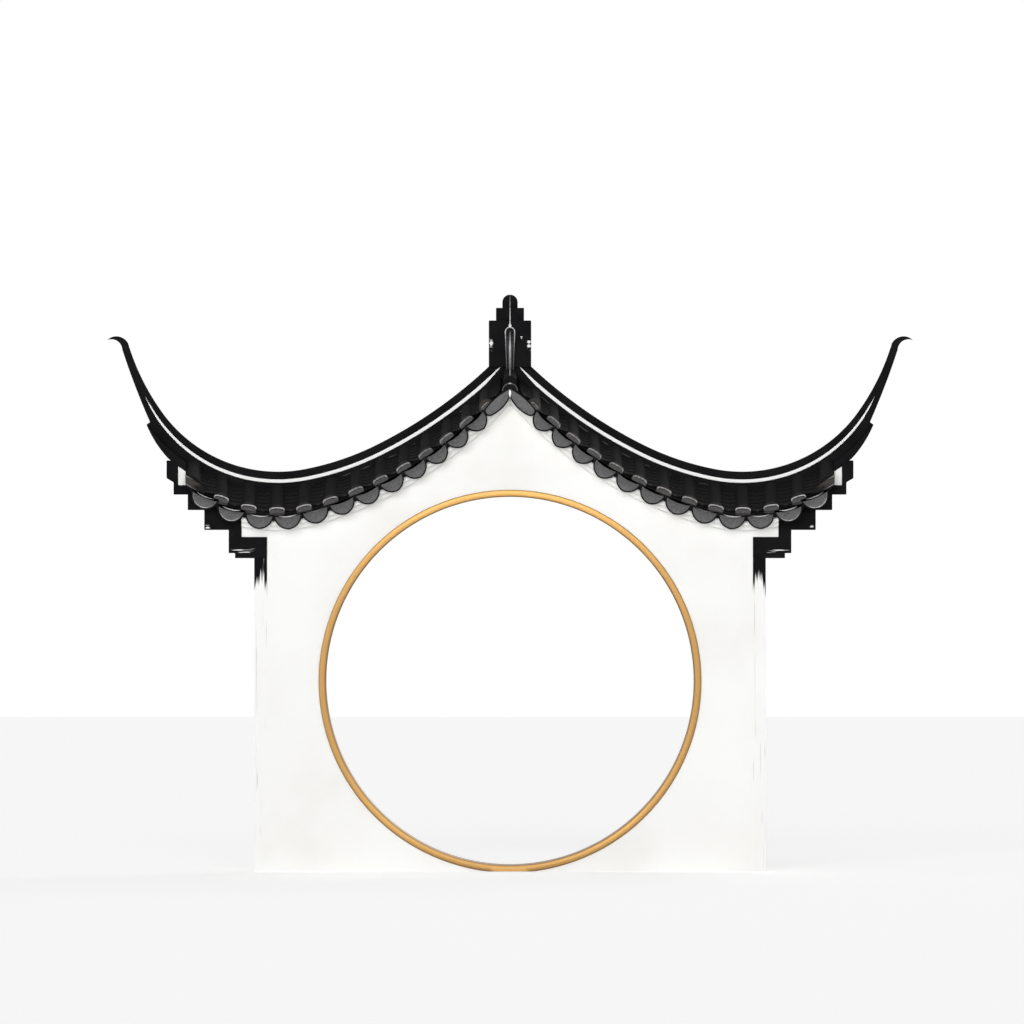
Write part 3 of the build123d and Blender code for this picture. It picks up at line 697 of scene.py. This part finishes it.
# Smoke-fired grey clay: black where the fire's soot or the wash still covers it, brown-grey
# and then pale where rain and hands have worn it, and dull all over. The same tones also paint
# light and shade: pale for highlights on rims, crescents and lips, and dark for the shade round
# the drip plates and, with soot, in the nose hollows.
CLAY = (("121212", 0.0), ("1A1918", 0.15), ("3A3632", 0.3), ("565656", 0.5), ("727172", 0.7), ("CAC7CA", 1.0))
MOTTLE = 0.16

clay, tree, shader, place = paint("smoke-fired clay")
worn_and_lit = add(tree, "ShaderNodeAttribute", attribute_name="wear_and_light").outputs["Fac"]
speckle = ranged(tree, noise(tree, place, 0.012, 4.0), 0.25, 0.75, 1 - MOTTLE, 1 + MOTTLE)
tones = add(tree, "ShaderNodeValToRGB", [("Fac", maths(tree, "MULTIPLY", worn_and_lit, speckle))])
while len(tones.color_ramp.elements) < len(CLAY):
    tones.color_ramp.elements.new(0.5)
for element, (colour, position) in zip(tones.color_ramp.elements, CLAY):
    element.position = position
    element.color = linear(colour)
matt_finish(tree, shader, tones.outputs["Color"], 0.75, 0.08)
rough_skin(tree, shader, place, 0.003, 0.0004)


def pan_tile(width, length, glint):
    """One concave pan, its lip at Y = 0, lying up the slope, with a glint in the lip's middle."""
    bm = bmesh.new()
    side_of(bm, ((-width / 2, PAN_RISE), (0, 0), (width / 2, PAN_RISE)), 6)
    ends = bmesh.ops.extrude_edge_only(bm, edges=list(bm.edges))["geom"]
    bmesh.ops.translate(bm, vec=(0, length, 0), verts=[v for v in ends if isinstance(v, bmesh.types.BMVert)])
    bmesh.ops.recalc_face_normals(bm, faces=bm.faces)
    bmesh.ops.solidify(bm, geom=list(bm.faces), thickness=PAN_THICK)
    bmesh.ops.recalc_face_normals(bm, faces=bm.faces)
    wear_and_light(bm, bm.faces, lambda spot: glint * max(0.0, 1 - (spot.x / GLINT_HALF) ** 2) * (spot.y < length / 20))
    return bm


pans = bmesh.new()
middle_place = cover_places[-1] + COVER_PITCHES[1]
rows = [VERGE_WIDTH / 2, *cover_places, middle_place]
for first, second in zip(rows, rows[1:]):
    seat, length = down_slope((first + second) / 2)
    step = length / PAN_COURSES
    tilt = Matrix.Rotation(-PAN_TILT / step, 4, "X")
    for number in range(PAN_COURSES):
        lift = Matrix.Translation((0, number * step + PAN_START, BED_LIFT + PAN_TILT)) @ tilt
        put(pans, pan_tile(second - first - PAN_CLEAR, step, 0.0 if number else GLINT), seat @ lift)
both_sides("pan_tiles", with_mirror(pans, TO_BACK), [clay], "roof_bed")
for side in ("left", "right"):
    for name in ("tile_bed_front_", "tile_bed_back_"):
        finish_node(name + side, black_wash)


# Cover tiles. Half-round barrels of smoke-fired clay lie over the joints between the pans,
# in one run behind the lowest. That one ends in a nose: a bar arched over a hollow, with a duller
# lip below. The bar is painted pale as a highlight, and the hollow dark, partly soot and partly
# painted shade under the bar.
COVER_RISE = 0.044
COVER_SUNK = 0.012
COVER_START = -0.06
COVER_LENGTH = 0.165
COVER_FACE = 0.006
COVER_WEAR = 0.36
FADE = 0.042
NOSE_HALF = 0.0485
NOSE_CORNER = 0.037
NOSE_HEIGHT = 0.042
NOSE_SHOULDER = 0.017
NOSE_TUCK = 0.0015
NOSE_LOW = 0.006
ARCH_DROP = 0.004
LIP_TOP = 0.0255
LIP_SIDE = ((0.040, 0.022), (0.0455, 0.013), (0.036, 0.001))
LIP_PROUD = 0.003
LIP_WEAR = 0.45
RIM = 0.0038
RIM_SEAT = 0.002
RIM_HIGHLIGHT = (0.9, 0.15)
STEEP = 35
STEEP_SHIFT = Vector((-0.010, 0, -0.015))
LAST_NOSE = 0.62


def barrel(width, rise, front, back):
    """A length of half-round tile from one Y to another, closed at both ends."""
    bm = bmesh.new()
    bmesh.ops.create_circle(bm, segments=20, radius=1, cap_ends=True)
    for vert in bm.verts:
        up = vert.co.y
        vert.co = (vert.co.x * width / 2, back, up * (rise if up > 0 else COVER_SUNK))
    grown = bmesh.ops.extrude_face_region(bm, geom=list(bm.faces))["geom"]
    verts = [v for v in grown if isinstance(v, bmesh.types.BMVert)]
    bmesh.ops.translate(bm, vec=(0, front - back, 0), verts=verts)
    bmesh.ops.recalc_face_normals(bm, faces=bm.faces)
    long_edges = [e for e in bm.edges if abs(e.verts[0].co.y - e.verts[1].co.y) > 0.05]
    bmesh.ops.subdivide_edges(bm, edges=long_edges, cuts=7)
    wear_and_light(bm, bm.faces, lambda spot: COVER_WEAR * max(0.0, 1 - (max(spot.y, 0) / FADE) ** 2))
    return bm


def lay_row(into, width, rise, length, seat):
    """Lays a row of cover tile: the lowest one, and a slightly smaller run that starts in its end."""
    put(into, barrel(width, rise, COVER_START, COVER_LENGTH), seat)
    put(into, barrel(width * 0.97, rise * 0.96, COVER_LENGTH - 0.002, length), seat)


def slab(sides, back, face_y, steps=12):
    """A flat piece of that outline in the XZ plane between two Y, and its front face."""
    bm = bmesh.new()
    for points in sides:
        side_of(bm, points, steps)
    bmesh.ops.remove_doubles(bm, verts=bm.verts, dist=1e-5)
    bmesh.ops.contextual_create(bm, geom=list(bm.edges))
    bmesh.ops.translate(bm, vec=(0, back, 0), verts=bm.verts)
    grown = bmesh.ops.extrude_face_region(bm, geom=list(bm.faces))["geom"]
    front_face = next(f for f in grown if isinstance(f, bmesh.types.BMFace))
    bmesh.ops.translate(bm, vec=(0, face_y - back, 0), verts=front_face.verts)
    bmesh.ops.recalc_face_normals(bm, faces=bm.faces)
    return bm, front_face


def rod(sides, radius, y):
    """A round bar bent along arcs in the XZ plane."""
    bm = bmesh.new()
    for points in sides:
        side_of(bm, points, 10)
    bmesh.ops.remove_doubles(bm, verts=bm.verts, dist=1e-5)
    bmesh.ops.translate(bm, vec=(0, y, 0), verts=bm.verts)
    path = list(bm.edges)
    ends = bmesh.ops.extrude_edge_only(bm, edges=path)["geom"]
    bmesh.ops.translate(bm, vec=(0, -radius, 0), verts=[v for v in ends if isinstance(v, bmesh.types.BMVert)])
    bmesh.ops.recalc_face_normals(bm, faces=bm.faces)
    bmesh.ops.solidify(bm, geom=list(bm.faces), thickness=2 * radius)
    bmesh.ops.bevel(
        bm, geom=[e for e in bm.edges if e.calc_face_angle(0) > math.radians(60)], offset=radius * 0.45,
        offset_type="OFFSET", segments=2, profile=0.5, affect="EDGES", clamp_overlap=True, material=-1,
    )
    bmesh.ops.recalc_face_normals(bm, faces=bm.faces)
    return bm


def arched(half, corner, foot, top):
    """The arch over a nose: a flat crown between two rounded shoulders, from left to right."""
    crown = top - ARCH_DROP
    shoulder_x = half - 0.17 * (half - corner)
    shoulder_z = foot + 0.6 * (crown - foot)
    side = ((-half, foot), (-shoulder_x, shoulder_z), (-corner, crown))
    return [side, (side[-1], (0, top), (corner, crown)), [(-x, z) for x, z in reversed(side)]]


def cover_nose(size, steepness):
    """The nose that closes the lowest cover tile, upright, its foot at the bed's edge.

    On the steep inner slope, where it faces the sky more, its hollow is painted paler and its rim's painted
    highlight fainter.
    """
    bm = bmesh.new()
    hollow, _ = slab([
        *arched(NOSE_HALF, NOSE_CORNER, NOSE_SHOULDER, NOSE_HEIGHT),
        ((NOSE_HALF, NOSE_SHOULDER), (NOSE_HALF - NOSE_TUCK, NOSE_LOW), (NOSE_CORNER, 0)),
        ((NOSE_CORNER, 0), (-NOSE_CORNER, 0)),
        ((-NOSE_CORNER, 0), (NOSE_TUCK - NOSE_HALF, NOSE_LOW), (-NOSE_HALF, NOSE_SHOULDER)),
    ], 0.0, -COVER_FACE)
    # The hollow is painted dark, partly soot and partly painted shade under the rim, and paler where the
    # slope is steep.
    wear_and_light(hollow, hollow.faces, lambda spot: 0.13 + steepness * (0.3 - 0.12 * spot.x / NOSE_HALF))
    put(bm, hollow)
    left_side = [(-x, z) for x, z in reversed(LIP_SIDE)]
    lip, _ = slab([
        (left_side[-1], (0, LIP_TOP), LIP_SIDE[0]), LIP_SIDE, (LIP_SIDE[-1], left_side[0]), left_side,
    ], -COVER_FACE, -COVER_FACE - LIP_PROUD)
    wear_and_light(lip, lip.faces, LIP_WEAR)
    put(bm, lip)
    rim_line = arched(NOSE_HALF - 0.0025, NOSE_CORNER - 0.001, NOSE_SHOULDER, NOSE_HEIGHT - RIM)
    bar = rod(rim_line, RIM, -COVER_FACE + RIM_SEAT)
    # The rim bar is painted pale as a highlight, fainter on the steep slope.
    wear_and_light(bar, bar.faces, RIM_HIGHLIGHT[0] - RIM_HIGHLIGHT[1] * steepness)
    put(bm, bar)
    bmesh.ops.scale(bm, vec=(size, 1, size), verts=bm.verts)
    return bm


def hung(spot, lean):
    """The seat of an upright tile against the front edge of the bed."""
    return Matrix.Translation((spot.x, -EAVE_REACH, spot.z)) @ Matrix.Rotation(-lean, 4, "Y")


covers = bmesh.new()
for place_on in cover_places:
    seat, length = down_slope(place_on)
    steepness = min(1.0, max(0.0, tile_slope(place_on)[0] / STEEP))
    seat = Matrix.Translation(STEEP_SHIFT * steepness) @ seat
    lay_row(covers, COVER_WIDTH, COVER_RISE, length, seat)
cut_back(covers, (0, -EAVE_REACH - 0.001, 0), (0, -1, 0))
for number, place_on in enumerate(cover_places):
    slope, lean = tile_slope(place_on)
    size = 1.0 if number < INTERVALS - 1 else LAST_NOSE
    steepness = min(1.0, max(0.0, slope / STEEP))
    seat = hung(spot_on(bed_line, 0, slope) + STEEP_SHIFT * steepness, lean)
    put(covers, cover_nose(size, steepness), seat)
both_sides("clay_covers", with_mirror(covers, TO_BACK), [clay], "cover_tile", "cover_tiles")

# The verge rolls close the roof's ends: their front ends are rubbed grey, with pale rims.
VERGE_RISE = 0.046
VERGE_FACE = (-0.075, 0.085)
VERGE_SHARE = 0.77
VERGE_DROP = 0.020
VERGE_PALE = {"top": 0.010, "foot": 0.050, "face": 0.085}
VERGE_RUN = 0.060
VERGE_BOW = 0.002
VERGE_BACK = 0.002
VERGE_FRONT = -0.0075
VERGE_RIM = 0.0045

verges = bmesh.new()
seat, length = down_slope(VERGE_WIDTH / 2, 1.0)
lay_row(verges, VERGE_WIDTH, VERGE_RISE, length, seat)
wear_and_light(verges, verges.faces, 0.0)
cut_back(verges, (0, -EAVE_REACH - 0.001, 0), (0, -1, 0))
low_end, high_end = VERGE_FACE
end_plate, face = slab([
    ((low_end, 0), (low_end, VERGE_RISE)),
    ((low_end, VERGE_RISE), (0, VERGE_RISE + VERGE_BOW), (high_end, VERGE_RISE)),
    ((high_end, VERGE_RISE), (high_end, 0)),
    ((high_end, 0), (0, -VERGE_BOW), (low_end, 0)),
], VERGE_BACK, VERGE_FRONT)


def fading(value, *parts):
    """Wear that fades along a part of the verge's end to nothing where that part is black."""
    def worn_there(spot):
        end = VERGE_PALE[parts[spot.z < VERGE_RISE / 2]]
        return value * max(0.0, min(1.0, (end - spot.x) / VERGE_RUN))
    return worn_there


wear_and_light(end_plate, end_plate.faces, fading(0.75, "top", "foot"))
bmesh.ops.inset_region(end_plate, faces=[face], thickness=VERGE_RIM)
bmesh.ops.inset_region(end_plate, faces=[face], thickness=0.001)
bmesh.ops.translate(end_plate, vec=(0, 0.002, 0), verts=face.verts)
wear_and_light(end_plate, [face], fading(0.34, "face", "face"))
slope, lean = tile_slope(VERGE_WIDTH / 2, VERGE_SHARE)
put(verges, end_plate, Matrix.Translation((0, 0, -VERGE_DROP)) @ hung(spot_on(bed_line, 0, slope), lean))
cut_back(verges, (-VERGE, 0, 0), (-1, 0, 0))
piece("clay_verges", with_mirror(with_mirror(verges, TO_BACK), TO_RIGHT), [clay], "cover_tile", "verge_rolls")


# Drip tiles. The lowest pans end in hanging half-moon plates of smoke-fired clay. Their edges
# are painted black as the shade round them, and a pale crescent under each dished top is a
# painted highlight, which fades where the eave grows steep.
DRIP_PITCHES = (0.179, 0.150)
FIRST_DRIP = 0.138
DRIP_SHARE = 0.97
DRIP_DEPTH = 0.094
DRIP_SINK = 0.007
DRIP_DISH = 0.012
DRIP_BODY = 0.009
DRIP_PANEL = 0.003
DRIP_BORDER = 0.008
CRESCENT = 0.006
CRESCENT_SLOPES = (10, 18)
DRIP_WEAR = 0.56
RIMMED_DRIPS = 2
LEAF = (
    ((-0.148, 2.774), (-0.080, 2.844), (0.0, 2.895)),
    ((0.0, 2.895), (0.0, 2.836)),
    ((0.0, 2.836), (-0.045, 2.772), (-0.108, 2.728)),
    ((-0.108, 2.728), (-0.147, 2.737), (-0.148, 2.774)),
)


def panelled(sides, rim_highlight, face_wear):
    """A drip plate of that outline: a black border of painted shade round a raised grey panel, with a pale
    rim painted as a highlight if one is asked for.
    """
    bm, face = slab(sides, 0.0, -DRIP_BODY, 14)
    # The black border is painted shade round the plate's edge.
    wear_and_light(bm, bm.faces, 0.0)
    bmesh.ops.inset_region(bm, faces=[face], thickness=DRIP_BORDER)
    raised = bmesh.ops.inset_region(bm, faces=[face], thickness=0.001)["faces"]
    bmesh.ops.translate(bm, vec=(0, -DRIP_PANEL, 0), verts=face.verts)
    wear_and_light(bm, raised, 0.4)
    # The pale rim is a painted highlight.
    if rim_highlight:
        rim = bmesh.ops.inset_region(bm, faces=[face], thickness=0.005)["faces"]
        wear_and_light(bm, rim, rim_highlight)
    wear_and_light(bm, [face], face_wear)
    return bm


def half_moon(width, rimmed, shine):
    """A drip plate, and the pale crescent painted as a highlight under its dished top, if it has any shine.
    """
    top, low = DRIP_DEPTH / 2, -DRIP_DEPTH / 2
    bulge_x, bulge_z = 0.378 * width, -0.17 * DRIP_DEPTH
    plate = panelled(
        [
            ((-width / 2, top), (0, top - DRIP_DISH), (width / 2, top)),
            ((width / 2, top), (bulge_x, bulge_z), (0, low)),
            ((0, low), (-bulge_x, bulge_z), (-width / 2, top)),
        ],
        (lambda spot: DRIP_WEAR + 0.34 * max(0.0, min(1.0, 0.3 - spot.z / top))) if rimmed else None,
        lambda spot: DRIP_WEAR - 0.10 * spot.z / top,
    )
    if not shine:
        return plate
    reach = 0.34 * width
    high = top - DRIP_DISH - 0.3 * DRIP_BORDER
    ends = high + DRIP_DISH * (2 * reach / width) ** 2
    moon, _ = slab(
        [
            ((-reach, ends), (0, high), (reach, ends)),
            ((reach, ends), (0, high - CRESCENT), (-reach, ends)),
        ],
        -DRIP_BODY, -DRIP_BODY - DRIP_PANEL - 0.0015,
    )
    wear_and_light(moon, moon.faces, DRIP_WEAR + 0.44 * shine)
    put(plate, moon)
    return plate


drips = bmesh.new()
for number, place_on in enumerate(stations(FIRST_DRIP, DRIP_PITCHES, INTERVALS)):
    slope, lean = tile_slope(place_on)
    step = DRIP_PITCHES[0] + (DRIP_PITCHES[1] - DRIP_PITCHES[0]) * number / (INTERVALS - 1)
    # The crescent's painted highlight fades as the eave steepens, and is weaker on the first drip.
    full, none = CRESCENT_SLOPES
    shine = max(0.0, min(1.0, (none - slope) / (none - full))) * (1.0 if number else 0.6)
    shape = half_moon(DRIP_SHARE * step, number < RIMMED_DRIPS, shine)
    put(drips, shape, hung(spot_on(eave, DRIP_SINK, slope), lean))
put(drips, panelled(LEAF, None, 0.62), Matrix.Translation((0, -EAVE_REACH, 0)))
both_sides("clay_drips", with_mirror(drips, TO_BACK), [clay], "drip_tile", "drip_tiles")


# Mitre. Where the two eaves meet, a round clay nose closes the hip. Its thin rim is painted pale
# as a highlight, palest at its top, and a slim white key of mortar hangs from it between the last
# drips.
MITRE_FOOT = 2.876
MITRE_RADIUS = 0.051
MITRE_RIM = 0.0032
MITRE_PEAK = 0.010
KEY = (0.009, 0.018, 0.052)
KEY_PROUD = 0.012

mitres = bmesh.new()
nose, _ = slab([
    ((-MITRE_RADIUS, 0), (0, MITRE_RADIUS), (MITRE_RADIUS, 0)), ((MITRE_RADIUS, 0), (-MITRE_RADIUS, 0)),
], 0.0, -0.008, 24)
wear_and_light(nose, nose.faces, 0.08)
put(mitres, nose)
rim_radius = MITRE_RADIUS - MITRE_RIM
rim = rod([((-rim_radius, 0), (0, rim_radius), (rim_radius, 0))], MITRE_RIM, -0.006)
# The rim is painted pale as a highlight, palest at its top.
wear_and_light(rim, rim.faces, lambda spot: 0.5 + 0.5 * max(0.0, 1 - abs(spot.x) / MITRE_PEAK))
put(mitres, rim)
key_half, key_widest, key_low = KEY
head = (0, key_half)
foot = (0, key_half - key_low)
right = (key_half, key_half - key_widest)
left = (-key_half, key_half - key_widest)
key, _ = slab([(head, right), (right, foot), (foot, left), (left, head)], 0.0, -KEY_PROUD)
for each in key.faces:
    each.material_index = 1
put(mitres, key)
bmesh.ops.translate(mitres, vec=(0, -EAVE_REACH, MITRE_FOOT), verts=mitres.verts)
piece("mitre_noses", with_mirror(mitres, TO_BACK), [clay, lime], "cover_tile", "mitre_keys")


# Finial. Stepped blocks of black-washed brick stand astride the ridges under a round-headed
# knob. A tall fluted tile with a round head stands up each face, over the hip tile.
FINIAL_EASE = 0.004
ROLL_HALF = 0.031
ROLL_FOOT_HALF = 0.020
ROLL_TOP = 3.262
ROLL_LOW = 2.946
ROLL_BACK = -0.092
ROLL_FRONT = -0.122
ROLL_RIM = 0.0055
ROLL_HOLLOW = 0.006
BEAD_OFF = 0.0125
BEAD_TOP = 0.020
BEAD_WIDEST = 0.12
BEAD_SUNK = 0.008
HIP_RADIUS = 0.038
HIP_BEAD = 0.0042

for name in ("finial_block", "finial_tier", "finial_knob"):
    piece("black_" + name, softened(name, FINIAL_EASE, 2, 20), [black_wash], "ridge_black", name)


def fading_down(top, low, high_value, low_value):
    """Wear that changes evenly down an upright piece."""
    def value(spot):
        share = max(0.0, min(1.0, (spot.z - low) / (top - low)))
        return low_value + (high_value - low_value) * share
    return value


rolls = bmesh.new()
springing = ROLL_TOP - ROLL_HALF
tile, face = slab([
    ((-ROLL_HALF, springing), (0, ROLL_TOP), (ROLL_HALF, springing)),
    ((ROLL_HALF, springing), (ROLL_FOOT_HALF, ROLL_LOW)),
    ((ROLL_FOOT_HALF, ROLL_LOW), (-ROLL_FOOT_HALF, ROLL_LOW)),
    ((-ROLL_FOOT_HALF, ROLL_LOW), (-ROLL_HALF, springing)),
], ROLL_BACK, ROLL_FRONT, 16)
wear_and_light(tile, tile.faces, fading_down(ROLL_TOP, ROLL_TOP - 0.26, 1.0, 0.3))
bmesh.ops.inset_region(tile, faces=[face], thickness=ROLL_RIM)
bmesh.ops.inset_region(tile, faces=[face], thickness=0.001)
bmesh.ops.translate(tile, vec=(0, ROLL_HOLLOW, 0), verts=face.verts)
wear_and_light(tile, [face], 0.12)
put(rolls, tile)
for off, half, paleness in ((-BEAD_OFF, 0.0028, 0.55), (0, 0.0045, 1.0), (BEAD_OFF, 0.0028, 0.55)):
    head = (off, ROLL_TOP - BEAD_TOP - abs(off))
    foot = (0.65 * off, ROLL_LOW + 0.005)
    right = (0.9 * off + half, ROLL_TOP - BEAD_WIDEST)
    left = (0.9 * off - half, ROLL_TOP - BEAD_WIDEST)
    sides = [(head, right), (right, foot), (foot, left), (left, head)]
    bead, _ = slab(sides, ROLL_FRONT + BEAD_SUNK, ROLL_FRONT)
    wear_and_light(bead, bead.faces, fading_down(ROLL_TOP, ROLL_LOW, paleness, 0.9 * paleness))
    put(rolls, bead)
hip_start = Vector((0, -BASE_HALF, ROLL_LOW + HIP_RADIUS))
hip_end = Vector((0, -EAVE_REACH, EAVE_APEX + BED_EDGE))
fall = hip_end - hip_start
for radius, rise, paleness in ((HIP_RADIUS, 0.0, 0.0), (HIP_BEAD, HIP_RADIUS, 0.85)):
    middle = (hip_start + hip_end) / 2 + Vector((0, 0, rise))
    hip = bmesh.new()
    bmesh.ops.create_cone(
        hip, cap_ends=True, segments=20, radius1=radius, radius2=radius, depth=fall.length,
        matrix=Matrix.Translation(middle) @ fall.to_track_quat("Z", "Y").to_matrix().to_4x4(),
    )
    wear_and_light(hip, hip.faces, paleness)
    put(rolls, hip)
piece("clay_centre_rolls", with_mirror(rolls, TO_BACK), [clay], "cover_tile", "centre_rolls")
